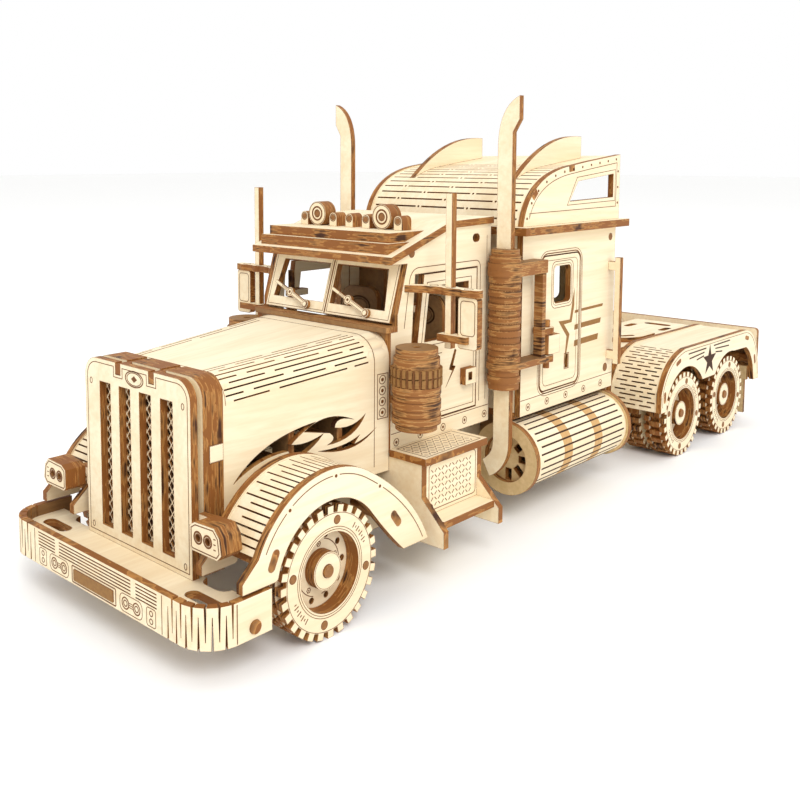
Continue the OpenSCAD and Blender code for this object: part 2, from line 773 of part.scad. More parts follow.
module fairing_skin() color(pale) plate_x(ply - fairing_w, 2 * (fairing_w - ply)) intersection() {
    sheet(fairing_edge, -0.4, -0.4 - skin);
    box2(-30, fairing_z, 40, 120);
}

// Foot of a fin along the skin, up to where its rear edge rises
fin_back = 28;
fin_foot = [for (p = shifted(fairing_edge, -0.37)) if (p[0] > -13 && p[0] < fin_back) p];

module roof_fins() color(pale) both_sides() plate_x(fin_x - ply / 2)
    polygon(concat(fin_foot, [[fin_back, 112.97], [fin_back, 120.4]],
        bezier([fin_back, 120.4], [6, 121.5], fin_foot[0], 12)));

chassis_rails();
cross_members();
bumper_band();
bumper_bed();
dowel_pins();
grille_face();
grille_mesh();
grille_surround();
hood_skin();
hood_formers();
headlight_pods();
front_fender_plates();
front_fender_skins();
fender_braces();
floor_plates();
cab_bulkheads();
cab_sides();
cab_roof();
visor();
roof_lamps();
windshield_frame();
cab_interior();
wiper_left();
wiper_right();
cab_door_left();
cab_door_right();
sleeper_door_left();
sleeper_door_right();
sleeper_hinge_bars();
mirrors();
mirror_posts();
air_cleaners();
mufflers();
muffler_brackets();
exhaust_tips();
exhaust_elbows();
toolboxes();
step_plates();
fuel_tanks();
tank_flanges();
sleeper_sides();
sleeper_bulkheads();
sleeper_roof();
fairing_sides();
fairing_skin();
roof_fins();
grab_rails();
deck_plates();
fifth_wheel();
rear_fender_plates();
rear_fender_skins();
mudflaps();
rear_bar();
front_tyres();
front_axle();
rear_tyres_1();
rear_axle_1();
rear_tyres_2();
rear_axle_2();
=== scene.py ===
"""Laser-cut plywood kit model of a long-nosed tractor truck: its looks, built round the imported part."""
import math
from bisect import bisect_right

import bmesh
import bpy
import numpy as np
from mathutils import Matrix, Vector
from mathutils.geometry import delaunay_2d_cdt


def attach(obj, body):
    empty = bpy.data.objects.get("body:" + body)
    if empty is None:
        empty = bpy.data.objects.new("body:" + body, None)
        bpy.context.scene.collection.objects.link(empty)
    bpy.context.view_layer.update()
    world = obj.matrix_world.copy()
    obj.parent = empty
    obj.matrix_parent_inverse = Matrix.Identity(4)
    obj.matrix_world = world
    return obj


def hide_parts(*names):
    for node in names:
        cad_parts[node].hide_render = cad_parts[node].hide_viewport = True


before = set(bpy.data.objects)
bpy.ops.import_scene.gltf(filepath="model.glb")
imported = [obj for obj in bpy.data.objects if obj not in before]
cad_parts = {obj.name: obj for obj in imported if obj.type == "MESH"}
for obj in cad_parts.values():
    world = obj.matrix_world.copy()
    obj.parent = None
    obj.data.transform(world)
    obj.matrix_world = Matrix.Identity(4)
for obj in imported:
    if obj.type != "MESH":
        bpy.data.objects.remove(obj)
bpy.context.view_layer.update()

MM = 0.001


# ---- materials ----

def node_maker(tree):
    """Returns add(kind, inputs, **properties), which makes a node and links or sets its inputs."""
    def add(kind, inputs=(), **properties):
        node = tree.nodes.new(kind)
        for key, value in properties.items():
            setattr(node, key, value)
        for key, value in dict(inputs).items():
            if isinstance(value, bpy.types.NodeSocket):
                tree.links.new(value, node.inputs[key])
            else:
                node.inputs[key].default_value = value
        return node
    return add


FACE_TONES = ((0.80, 0.64, 0.41, 1), (0.89, 0.77, 0.55, 1))
# Dark brown face colours: painted shade, for the inner side of the bent sheets and for the faces of the dark
# parts below.
SHADE_FACE_TONES = ((0.20, 0.10, 0.035, 1), (0.30, 0.16, 0.06, 1))
BURN = (0.17, 0.052, 0.009, 1)
EDGE_TONES = ((0.05, 0.014, 0.003, 1), (0.24, 0.085, 0.016, 1), (0.46, 0.21, 0.055, 1))
DARK_TONES = ((0.06, 0.02, 0.005, 1), (0.27, 0.105, 0.026, 1), (0.50, 0.25, 0.08, 1))
# Face colours of the toasted ply: partly the wood's toasted tone, partly painted shade.
TOAST_AND_SHADE_TONES = ((0.52, 0.36, 0.16, 1), (0.66, 0.48, 0.25, 1))
GRAIN_SCALE = (420, 25, 420)
FACING = 0.8


def ply_material(name, axis, edges=EDGE_TONES, faces=FACE_TONES, rim=0.28):
    """Plywood: pale grained face where the object normal lies along an axis in axis, burnt edge elsewhere.

    axis is any of X, Y and Z, "all" for faces only, or "" for edges only. The grain runs along Y.
    rim is the width of the burnt line beside a sharp edge, in millimetres.
    """
    material = bpy.data.materials.new(name)
    material.use_nodes = True
    tree = material.node_tree
    tree.nodes.clear()
    add = node_maker(tree)
    where = add("ShaderNodeTexCoord")
    spread = add("ShaderNodeMapping", {"Vector": where.outputs["Object"], "Scale": GRAIN_SCALE})
    fibre = add("ShaderNodeTexNoise", {"Vector": spread.outputs[0], "Scale": 1.6, "Detail": 4,
                                       "Roughness": 0.6})
    wide = add("ShaderNodeMapping", {"Vector": where.outputs["Object"],
                                     "Scale": tuple(s * 0.22 for s in GRAIN_SCALE)})
    cloud = add("ShaderNodeTexNoise", {"Vector": wide.outputs[0], "Scale": 1.0, "Detail": 2})
    mixed = add("ShaderNodeMath", {0: fibre.outputs[0], 1: cloud.outputs[0]}, operation="MULTIPLY")
    face = add("ShaderNodeValToRGB", {"Fac": mixed.outputs[0]})
    face.color_ramp.elements[0].position = 0.12
    face.color_ramp.elements[0].color = faces[0]
    face.color_ramp.elements[1].position = 0.36
    face.color_ramp.elements[1].color = faces[1]
    plies = tuple(1700 if letter in axis[:1] else 75 for letter in "XYZ")
    layers = add("ShaderNodeMapping", {"Vector": where.outputs["Object"], "Scale": plies})
    speck = add("ShaderNodeTexNoise", {"Vector": layers.outputs[0], "Scale": 1.0, "Detail": 4})
    blotch = add("ShaderNodeTexNoise", {"Vector": where.outputs["Object"], "Scale": 140, "Detail": 3})
    char = add("ShaderNodeMath", {0: speck.outputs[0], 1: blotch.outputs[0]}, operation="ADD")
    edge = add("ShaderNodeValToRGB", {"Fac": char.outputs[0]})
    ramp = edge.color_ramp
    ramp.elements[0].position = 0.78
    ramp.elements[0].color = edges[0]
    ramp.elements[1].position = 1.24
    ramp.elements[1].color = edges[2]
    ramp.elements.new(1.0).color = edges[1]
    flat = add("ShaderNodeNewGeometry")
    soft = add("ShaderNodeBevel", {"Radius": rim * MM}, samples=6)
    near = add("ShaderNodeVectorMath", {0: flat.outputs["True Normal"], 1: soft.outputs[0]},
               operation="DOT_PRODUCT")
    rimmed = add("ShaderNodeMapRange", {"Value": near.outputs["Value"], "From Min": 0.999, "From Max": 0.93,
                                        "To Min": 0.0, "To Max": 0.85})
    burnt = add("ShaderNodeMix", {"Factor": rimmed.outputs[0], 6: face.outputs[0], 7: BURN}, data_type="RGBA")
    colour = burnt.outputs[2]
    if axis != "all":
        parts = add("ShaderNodeSeparateXYZ", {0: where.outputs["Normal"]})
        total = None
        for letter in axis or "X":
            size = add("ShaderNodeMath", {0: parts.outputs[letter]}, operation="ABSOLUTE")
            test = add("ShaderNodeMath", {0: size.outputs[0], 1: FACING if axis else 2.0},
                       operation="GREATER_THAN")
            total = test if total is None else add(
                "ShaderNodeMath", {0: total.outputs[0], 1: test.outputs[0]}, operation="MAXIMUM")
        sided = add("ShaderNodeMix", {"Factor": total.outputs[0], 6: edge.outputs[0], 7: colour},
                    data_type="RGBA")
        colour = sided.outputs[2]
    bump = add("ShaderNodeBump", {"Height": fibre.outputs[0], "Strength": 0.12, "Distance": 0.00006})
    shine = add("ShaderNodeMapRange", {"Value": fibre.outputs[0], "To Min": 0.5, "To Max": 0.72})
    wood = add("ShaderNodeBsdfPrincipled", {"Base Color": colour, "Roughness": shine.outputs[0],
                                            "Normal": bump.outputs[0], "Specular IOR Level": 0.3})
    add("ShaderNodeOutputMaterial", {"Surface": wood.outputs[0]})
    return material


def plain_wood(name, low, high):
    """Charred or toasted wood with no grain direction; also the near-black painted shade seen in holes."""
    material = bpy.data.materials.new(name)
    material.use_nodes = True
    tree = material.node_tree
    tree.nodes.clear()
    add = node_maker(tree)
    where = add("ShaderNodeTexCoord")
    spots = add("ShaderNodeTexNoise", {"Vector": where.outputs["Object"], "Scale": 1100, "Detail": 3})
    tone = add("ShaderNodeMix", {"Factor": spots.outputs[0], 6: low, 7: high}, data_type="RGBA")
    bump = add("ShaderNodeBump", {"Height": spots.outputs[0], "Strength": 0.15, "Distance": 0.00005})
    shine = add("ShaderNodeMapRange", {"Value": spots.outputs[0], "To Min": 0.55, "To Max": 0.8})
    wood = add("ShaderNodeBsdfPrincipled", {"Base Color": tone.outputs[2], "Roughness": shine.outputs[0],
                                            "Normal": bump.outputs[0], "Specular IOR Level": 0.25})
    add("ShaderNodeOutputMaterial", {"Surface": wood.outputs[0]})
    return material


PLY_OF = {axis: ply_material("ply_" + (axis.lower() or "edge"), axis)
          for axis in ("X", "Y", "Z", "YZ", "all", "")}
# Plywood with dark brown faces: painted shade, for the parts listed in DARK_CAD_LOOKS.
DARK_OF = {axis: ply_material("dark_ply_" + axis.lower(), axis, DARK_TONES, SHADE_FACE_TONES)
           for axis in ("Y", "Z", "YZ")}
# Ply with these darker faces: toasted wood and painted shade together.
TOASTED_SHADED_PLY = ply_material("toasted_shaded_ply", "Y", faces=TOAST_AND_SHADE_TONES)
# The inner side of the bent sheets gets the dark faces: painted shade inside the hood, bumper, fenders and
# fairing.
INNER_SHADE_LOOK = ply_material("sheet_inside_shade", "all", faces=SHADE_FACE_TONES)

SHEET_LOOK = ply_material("bent_sheet", "all", rim=0.12)
STRIPE_LOOK = plain_wood("stripe_brown", (0.19, 0.085, 0.022, 1), (0.36, 0.19, 0.06, 1))
BURN_LOOK = plain_wood("burnt_line", (0.10, 0.035, 0.010, 1), (0.22, 0.085, 0.022, 1))
PEG_LOOK = plain_wood("peg_end", (0.17, 0.07, 0.022, 1), (0.36, 0.17, 0.06, 1))
# Near black: painted shade seen through holes and gaps, for the sheet behind the grille, the star cut in the
# rear fenders and the gaps in the tanks.
HOLE_SHADE_LOOK = plain_wood("hole_shade", (0.028, 0.011, 0.004, 1), (0.07, 0.025, 0.008, 1))
TOAST_LOOK = plain_wood("toasted_band", (0.50, 0.28, 0.10, 1), (0.66, 0.42, 0.19, 1))


CAD_LOOKS = {
    "X": ["chassis_rails", "front_fender_plates", "cab_sides", "cab_door_left", "cab_door_right",
          "sleeper_door_left", "sleeper_door_right", "sleeper_sides", "fairing_sides", "roof_fins",
          "rear_fender_plates", "front_tyres", "rear_tyres_1", "rear_tyres_2", "front_axle", "rear_axle_1",
          "rear_axle_2"],
    "Y": ["grille_face", "grille_surround", "headlight_pods", "roof_lamps", "windshield_frame", "wiper_left",
          "wiper_right", "mirror_posts", "exhaust_tips", "exhaust_elbows", "sleeper_bulkheads", "grab_rails",
          "rear_bar"],
    "Z": ["bumper_bed", "cab_roof", "visor", "mirrors", "sleeper_hinge_bars", "step_plates", "sleeper_roof",
          "deck_plates", "fifth_wheel"],
    "all": ["fuel_tanks", "toolboxes"],
    "": ["fender_braces", "dowel_pins"],
}
# These parts get dark brown faces instead of pale ones: painted shade on the parts inside and under the
# truck; the stacks and their brackets get the same dark faces.
DARK_CAD_LOOKS = {
    "Y": ["cross_members", "hood_formers", "cab_bulkheads"],
    "Z": ["floor_plates", "air_cleaners", "mufflers", "muffler_brackets"],
    "YZ": ["cab_interior"],
}
# The tank flanges and mudflaps get these darker faces: partly toasted wood, partly painted shade.
TOASTED_SHADED_CAD_LOOKS = {"Y": ["tank_flanges", "mudflaps"]}
TOASTED_SHADED_OF = {"Y": TOASTED_SHADED_PLY}
for looks, groups in ((PLY_OF, CAD_LOOKS), (DARK_OF, DARK_CAD_LOOKS), (TOASTED_SHADED_OF, TOASTED_SHADED_CAD_LOOKS)):
    for axis, names in groups.items():
        for name in names:
            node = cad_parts[name]
            node.material_slots[0].link = "OBJECT"
            node.material_slots[0].material = looks[axis]


# ---- outlines, in millimetres ----

def rect(x0, y0, x1, y1):
    return [(x0, y0), (x1, y0), (x1, y1), (x0, y1)]


def polar(centre, radius, degrees):
    turn = math.radians(degrees)
    return (centre[0] + radius * math.cos(turn), centre[1] + radius * math.sin(turn))


def arc(centre, radius, start, end, count):
    return [polar(centre, radius, start + (end - start) * i / count) for i in range(count + 1)]


def circle(centre, radius, count=28):
    return arc(centre, radius, 0, 360 - 360 / count, count - 1)


def oval(centre, across, up, count=32):
    return [(centre[0] + across * x, centre[1] + up * y) for x, y in circle((0, 0), 1, count)]


def rounded(x0, y0, x1, y1, r):
    corners = [((x1 - r, y1 - r), 0), ((x0 + r, y1 - r), 90),
               ((x0 + r, y0 + r), 180), ((x1 - r, y0 + r), 270)]
    return [point for centre, start in corners for point in arc(centre, r, start, start + 90, 5)]


def bezier(a, b, c, count):
    """Points of a quadratic curve from a to c drawn towards b, without a itself."""
    steps = [(i + 1) / count for i in range(count)]
    return [tuple((1 - t) ** 2 * p + 2 * t * (1 - t) * q + t * t * r for p, q, r in zip(a, b, c))
            for t in steps]


def star(centre, outer, inner, turn=90):
    return [polar(centre, outer if i % 2 == 0 else inner, turn + 36 * i) for i in range(10)]


def divided(loop, step):
    """The closed loop with no side longer than step."""
    points = []
    for a, b in zip(loop, loop[1:] + loop[:1]):
        count = max(1, math.ceil(math.dist(a, b) / step))
        points += [(a[0] + (b[0] - a[0]) * i / count, a[1] + (b[1] - a[1]) * i / count) for i in range(count)]
    return points


def beside(points, offset, closed=False):
    """The polyline moved sideways by offset, to the left of its direction."""
    moved = []
    last = len(points) - 1
    for i, point in enumerate(points):
        before = points[i - 1] if closed or i else points[0]
        after = points[(i + 1) % len(points)] if closed or i < last else points[last]
        a = Vector((point[0] - before[0], point[1] - before[1]))
        b = Vector((after[0] - point[0], after[1] - point[1]))
        a = a if a.length > 1e-9 else b
        b = b if b.length > 1e-9 else a
        a, b = a.normalized(), b.normalized()
        side = Vector((-a.y - b.y, a.x + b.x)).normalized()
        reach = offset / max(0.35, side.dot(Vector((-a.y, a.x))))
        moved.append((point[0] + side.x * reach, point[1] + side.y * reach))
    return moved


class Path:
    """A curve that can be asked for its point and its left normal at a length along it."""

    def __init__(self, points):
        self.points = [points[0]] + [b for a, b in zip(points, points[1:]) if math.dist(a, b) > 1e-6]
        self.marks = [0.0]
        for a, b in zip(self.points, self.points[1:]):
            self.marks.append(self.marks[-1] + math.dist(a, b))
        self.length = self.marks[-1]
        self.sides = [Vector(b) - Vector(a) for a, b in zip(beside(self.points, 0), beside(self.points, 1))]

    def at(self, s, w=0.0):
        s = min(max(s, 0.0), self.length)
        i = max(0, min(bisect_right(self.marks, s) - 1, len(self.points) - 2))
        t = (s - self.marks[i]) / (self.marks[i + 1] - self.marks[i])
        point = Vector(self.points[i]).lerp(Vector(self.points[i + 1]), t)
        side = self.sides[i].lerp(self.sides[i + 1], t).normalized()
        return point + side * w


# ---- places: (u, v, height) on a face to a point in the frame, in millimetres ----

def on_side(side, x):
    return lambda u, v, w: (side * (x + w), u, v)


def on_front(y):
    return lambda u, v, w: (u, y - w, v)


def on_back(y):
    return lambda u, v, w: (u, y + w, v)


def on_top(z):
    return lambda u, v, w: (u, v, z + w)


def on_screen(u, v, w):
    tilt = math.radians(SCREEN_TILT)
    return (u, SCREEN_FOOT[0] + v * math.sin(tilt) - w * math.cos(tilt),
            SCREEN_FOOT[1] + v * math.cos(tilt) + w * math.sin(tilt))


def on_path(side, path, y=0.0, z=0.0):
    """u across the truck, v along the path."""
    def place(u, v, w):
        point = path.at(v, w)
        return (side * u, y + point[0], z + point[1])
    return place


# ---- slabs and lines ----

def inside(points, loops):
    """Which points lie inside an odd number of the loops."""
    hit = np.zeros(len(points), dtype=bool)
    x, y = points[:, :1], points[:, 1:2]
    for loop in loops:
        a = np.array(loop)
        b = np.roll(a, -1, axis=0)
        rise = np.where(b[:, 1] == a[:, 1], 1e-12, b[:, 1] - a[:, 1])
        meets = (b[:, 0] - a[:, 0]) * (y - a[:, 1]) / rise + a[:, 0]
        crossed = ((a[:, 1] > y) != (b[:, 1] > y)) & (x < meets)
        hit ^= crossed.sum(axis=1) % 2 == 1
    return hit


class Batch:
    """Closed slabs of one look that become one piece on one body."""

    def __init__(self, name, body="truck", face=None, edge=None, inner=None, slot="ply_edge"):
        self.name, self.body, self.slot = name, body, slot
        self.looks = [face or BURN_LOOK, edge or face or BURN_LOOK, inner or face or BURN_LOOK]
        self.verts, self.faces, self.kinds = [], [], []

    def add(self, verts, faces, kinds):
        base = len(self.verts)
        self.verts += verts
        self.faces += [[base + i for i in face] for face in faces]
        self.kinds += kinds

    def prism(self, loop, place, low, high):
        """A solid of the plain outline loop."""
        n = len(loop)
        verts = [place(u, v, low) for u, v in loop] + [place(u, v, high) for u, v in loop]
        walls = [(i, (i + 1) % n, n + (i + 1) % n, n + i) for i in range(n)]
        self.add(verts, [list(range(n))[::-1], list(range(n, 2 * n))] + walls, [0, 0] + [1] * n)

    def slab(self, outer, cuts, place, low, high, step=None):
        """A sheet of the outline outer with cuts through it; step adds points inside, so that it can bend."""
        loops = [divided(loop, step) if step else list(loop) for loop in [outer] + list(cuts)]
        points, edges = [], []
        for loop in loops:
            start = len(points)
            points += loop
            edges += [(start + i, start + (i + 1) % len(loop)) for i in range(len(loop))]
        if step:
            low_u, low_v = (min(p[k] for p in outer) for k in (0, 1))
            high_u, high_v = (max(p[k] for p in outer) for k in (0, 1))
            grid = np.array([(u, v) for u in np.arange(low_u + step * 0.47, high_u, step * 2)
                             for v in np.arange(low_v + step * 0.53, high_v, step)])
            sure = inside(grid, loops[:1]) & ~inside(grid, loops[1:])
            points += [tuple(p) for p in grid[sure]]
        flat, _, triangles, *_ = delaunay_2d_cdt([Vector(p) for p in points], edges, [], 0, 1e-5)
        middles = np.array([[sum(flat[i][k] for i in t) / 3 for k in (0, 1)] for t in triangles])
        kept = inside(middles, loops[:1]) & ~inside(middles, loops[1:])
        chosen = [t for t, keep in zip(triangles, kept) if keep]
        used = sorted({i for t in chosen for i in t})
        place_of = {old: new for new, old in enumerate(used)}
        chosen = [[place_of[i] for i in t] for t in chosen]
        n = len(used)
        sides = {(t[k], t[(k + 1) % 3]) for t in chosen for k in range(3)}
        rim = [(a, b) for a, b in sides if (b, a) not in sides]
        verts = [place(flat[i][0], flat[i][1], w) for w in (low, high) for i in used]
        faces = [t[::-1] for t in chosen] + [[n + i for i in t] for t in chosen]
        walls = [(a, b, n + b, n + a) for a, b in sorted(rim)]
        self.add(verts, faces + walls, [2] * len(chosen) + [0] * len(chosen) + [1] * len(walls))

    def line(self, points, place, width=0.22, closed=False, proud=0.05):
        """A thin raised strip along the points, for a burnt line."""
        left, right = beside(points, width / 2, closed), beside(points, -width / 2, closed)
        verts = [place(u, v, w) for a, b in zip(left, right) for (u, v), w in
                 ((a, -0.02), (b, -0.02), (b, proud), (a, proud))]
        count = len(points)
        faces = []
        for i in range(count if closed else count - 1):
            a, b = 4 * i, 4 * ((i + 1) % count)
            faces += [(a + k, b + k, b + (k + 1) % 4, a + (k + 1) % 4) for k in range(4)]
        if not closed:
            faces += [(0, 1, 2, 3), (4 * count - 1, 4 * count - 2, 4 * count - 3, 4 * count - 4)]
        self.add(verts, faces, [0] * len(faces))

    def ring(self, centre, radius, place, width=0.2, proud=0.05):
        self.line(circle(centre, radius, max(14, int(radius * 9))), place, width, True, proud)

    def rivet(self, centre, place, radius=0.95):
        """A ring round a dot, as a rivet head is burnt on."""
        self.ring(centre, radius, place, 0.2)
        self.prism(circle(centre, radius * 0.42, 12), place, -0.02, 0.06)

    def done(self, *replaced):
        mesh = bpy.data.meshes.new(self.name)
        mesh.from_pydata([[c * MM for c in v] for v in self.verts], [], self.faces)
        for look in self.looks:
            mesh.materials.append(look)
        mesh.polygons.foreach_set("material_index", self.kinds)
        shaped = bmesh.new()
        shaped.from_mesh(mesh)
        bmesh.ops.recalc_face_normals(shaped, faces=shaped.faces)
        shaped.to_mesh(mesh)
        shaped.free()
        mesh.shade_smooth()
        mesh.set_sharp_from_angle(angle=math.radians(30))
        made = bpy.data.objects.new(self.name, mesh)
        bpy.context.scene.collection.objects.link(made)
        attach(made, self.body)
        if replaced:
            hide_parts(*replaced)
        return made


def sheet_batch(name):
    # A bent sheet: pale outer face, burnt edges, and an inner side painted dark as painted shade.
    return Batch(name, face=SHEET_LOOK, edge=PLY_OF[""], inner=INNER_SHADE_LOOK, slot="ply_face")


# ---- hood ----

HOOD_Y = (-133, -79)
HOOD_FLAT, HOOD_ROUND, HOOD_SIDE = 14.5, 11.0, 30.0
HOOD_FOOT = 28
CORNER = 7
HOOD_DASHES = (((-131.6, -114), (-111, -87.5)), ((-131.6, -126.5), (-123.5, -101), (-98, -87)),
               ((-129.5, -119), (-116, -94), (-91.5, -86.6)))


def hood_size(y):
    """Half width and top height of the hood at y."""
    back = (y - HOOD_Y[0]) / (HOOD_Y[1] - HOOD_Y[0])
    return 21.5 + 5 * back, 62 + 4 * back


def hood_place(u, v, w):
    """u runs over the top from the middle to either foot, v along the truck."""
    half, top = hood_size(v)
    away = abs(u)
    if away <= HOOD_FLAT:
        x, z = away / HOOD_FLAT * (half - CORNER), top + w
    elif away <= HOOD_FLAT + HOOD_ROUND:
        turn = (away - HOOD_FLAT) / HOOD_ROUND * math.pi / 2
        x = half - CORNER + (CORNER + w) * math.sin(turn)
        z = top - CORNER + (CORNER + w) * math.cos(turn)
    else:
        down = (away - HOOD_FLAT - HOOD_ROUND) / HOOD_SIDE
        x, z = half + w, top - CORNER - down * (top - CORNER - HOOD_FOOT)
    return (math.copysign(x, u), v, z)


def hood_side(side, y, z):
    """The sheet's own place of a point on the hood's side."""
    top = hood_size(y)[1]
    return (side * (HOOD_FLAT + HOOD_ROUND + HOOD_SIDE * (top - CORNER - z) / (top - CORNER - HOOD_FOOT)), y)


def flame_licks():
    """Three swept licks cut through the hood's side, as (y, z)."""
    tail = (-130, 33)
    big = [tail] + bezier(tail, (-122, 46), (-104.5, 49.6), 14)
    big += bezier((-104.5, 49.6), (-110, 46), (-112.5, 43), 6)
    big += bezier((-112.5, 43), (-108, 42), (-102, 45.4), 6)
    big += bezier((-102, 45.4), (-108, 37), (-116.5, 37.4), 8)
    big += bezier((-116.5, 37.4), (-112, 39.6), (-113.5, 41), 5)
    big += bezier((-113.5, 41), (-122, 40.5), tail, 10)[:-1]
    high = [(-108.5, 46.6)] + bezier((-108.5, 46.6), (-101, 53.5), (-91.5, 48.8), 10)
    high += bezier((-91.5, 48.8), (-98, 51), (-98.3, 46.8), 6)
    high += bezier((-98.3, 46.8), (-92, 45.5), (-87.5, 50.5), 6)
    high += bezier((-87.5, 50.5), (-91, 41.8), (-101, 41.2), 8)
    high += bezier((-101, 41.2), (-97, 43), (-100, 45.2), 5)
    low = [(-104, 39.6)] + bezier((-104, 39.6), (-95, 39.5), (-89.5, 43.4), 8)
    low += bezier((-89.5, 43.4), (-91, 41.4), (-91.5, 40.4), 4)
    low += bezier((-91.5, 40.4), (-87, 42), (-83.5, 45.4), 5)
    low += bezier((-83.5, 45.4), (-91, 36), (-104, 39.6), 9)[:-1]
    return [[(y, 35.6 + 0.78 * (z - 33) - 0.09 * (y + 130)) for y, z in lick] for lick in (big, high, low)]


def make_hood():
    sheet = sheet_batch("hood_sheet")
    foot = HOOD_FLAT + HOOD_ROUND + HOOD_SIDE
    cuts = []
    for side in (1, -1):
        for i in range(9):
            u = side * (HOOD_FLAT - 1.6 + 1.5 * i)
            cuts += [rect(u - 0.18, a, u + 0.18, b) for a, b in HOOD_DASHES[i % 3]]
        cuts += [[hood_side(side, y, z) for y, z in lick] for lick in flame_licks()]
    outline = [(-foot, HOOD_Y[0]), (foot, HOOD_Y[0]), (foot, HOOD_Y[1] - 0.05), (-foot, HOOD_Y[1] - 0.05)]
    sheet.slab(outline, cuts, hood_place, -1.5, 0, step=1.6)
    sheet.done("hood_skin")
    lines = Batch("hood_marks")
    for side in (1, -1):
        edge = [(side * u, -84.4) for u in np.linspace(HOOD_FLAT + HOOD_ROUND, foot - 2, 8)]
        lines.line(edge, hood_place, 0.18)
        for z in (44.6, 47.6, 50.6, 53.6):
            lines.rivet(hood_side(side, -81.5, z), hood_place, 1.15)
        strip = [(-83.3, 43), (-79.5, 43), (-79.5, 55.2), (-83.3, 55.2)]
        lines.line([hood_side(side, y, z) for y, z in strip], hood_place, 0.2, True)
        lines.line([(-133.2, 42.4), (-137.2, 42.4), (-137.2, 46.6), (-133.2, 46.6)], on_side(side, 22), 0.2)
    for y, width in ((-84.4, 0.16), (-131.9, 0.12)):
        across = np.linspace(-HOOD_FLAT - HOOD_ROUND, HOOD_FLAT + HOOD_ROUND, 40)
        lines.line([(u, y) for u in across], hood_place, width)
    lines.done()
    tabs = Batch("hood_side_tabs", face=PLY_OF["all"], edge=PLY_OF[""], slot="ply_face")
    for side in (1, -1):
        tabs.prism(rect(-137.1, 42.5, -133.1, 46.5), on_side(side, 22), -0.02, 0.07)
    tabs.done()


# ---- bumper ----

BUMPER = {"half": 42.5, "front": -155, "back": -136.5, "bend": 9, "low": 9.5, "high": 18.98}


def bumper_path():
    half, bend, front = BUMPER["half"], BUMPER["bend"], BUMPER["front"]
    right = arc((half - bend, front + bend), bend, 0, -90, 16)
    left = [(-x, y) for x, y in right[::-1]]
    return Path([(half, BUMPER["back"])] + right + left + [(-half, BUMPER["back"])])


def make_bumper():
    path = bumper_path()
    middle = path.length / 2

    def place(u, v, w):
        x, y = path.at(middle - u, w)
        return (x, y, v)

    low, high = BUMPER["low"], BUMPER["high"]
    cuts = []
    for i in range(5):
        z = 14.9 + 0.8 * i
        cuts.append(rect(-15.5, z - 0.14, 15.5, z + 0.14))
        cuts += [rect(s * 21.5 - 4, z - 0.14, s * 21.5 + 4, z + 0.14) for s in (1, -1)]
    for s in (1, -1):
        for i in range(12):
            u = s * (29.6 + 1.5 * i)
            if i % 2:
                cuts.append([(u - 0.3, high + 1), (u + 0.3, high + 1), (u + 0.06, 11.4), (u - 0.06, 11.4)])
            else:
                cuts.append([(u - 0.3, low - 1), (u + 0.3, low - 1), (u + 0.06, 16.9), (u - 0.06, 16.9)])
        cuts.append(circle((s * (middle - 5.0), 12), 1.56, 24))
    band = sheet_batch("bumper_strip")
    band.slab(rect(-middle, low, middle, high), cuts, place, -1.98, 0, step=1.5)
    band.done("bumper_band")
    marks = Batch("bumper_marks")
    marks.line(rounded(-9.5, 10.1, 9.5, 14.2, 0.4), place, 0.3, True)
    for s in (1, -1):
        marks.line(rounded(s * 15.6 - 4.4, 10.1, s * 15.6 + 4.4, 14.3, 1.4), place, 0.16, True)
        marks.line(rounded(s * 23.4 - 1.7, 10.1, s * 23.4 + 1.7, 14.3, 0.6), place, 0.16, True)
        for du in (-2.2, 2.2):
            marks.ring((s * 15.6 + du, 12.2), 1.35, place, 0.3)
            marks.ring((s * 15.6 + du, 12.2), 0.7, place, 0.25)
        for dz in (-0.5, 0, 0.5):
            marks.line([(s * 15.6 - 0.7, 12.2 + dz), (s * 15.6 + 0.7, 12.2 + dz)], place, 0.16)
        for z in (11.3, 13.1):
            marks.ring((s * 23.4, z), 0.6, place, 0.22)
        for u in (27.4, 47.2):
            marks.line([(s * u, 9.8), (s * u, 18.6)], place, 0.2)
    marks.done()
    plate = Batch("bumper_plate", face=STRIPE_LOOK, edge=BURN_LOOK)
    plate.prism(rounded(-8.6, 10.7, 8.6, 13.6, 0.3), place, -0.02, 0.25)
    plate.done()


# ---- grille and lamp pods ----

GRILLE_FACE = -142.48
SLOTS = (-12.9, -4.3, 4.3, 12.9)


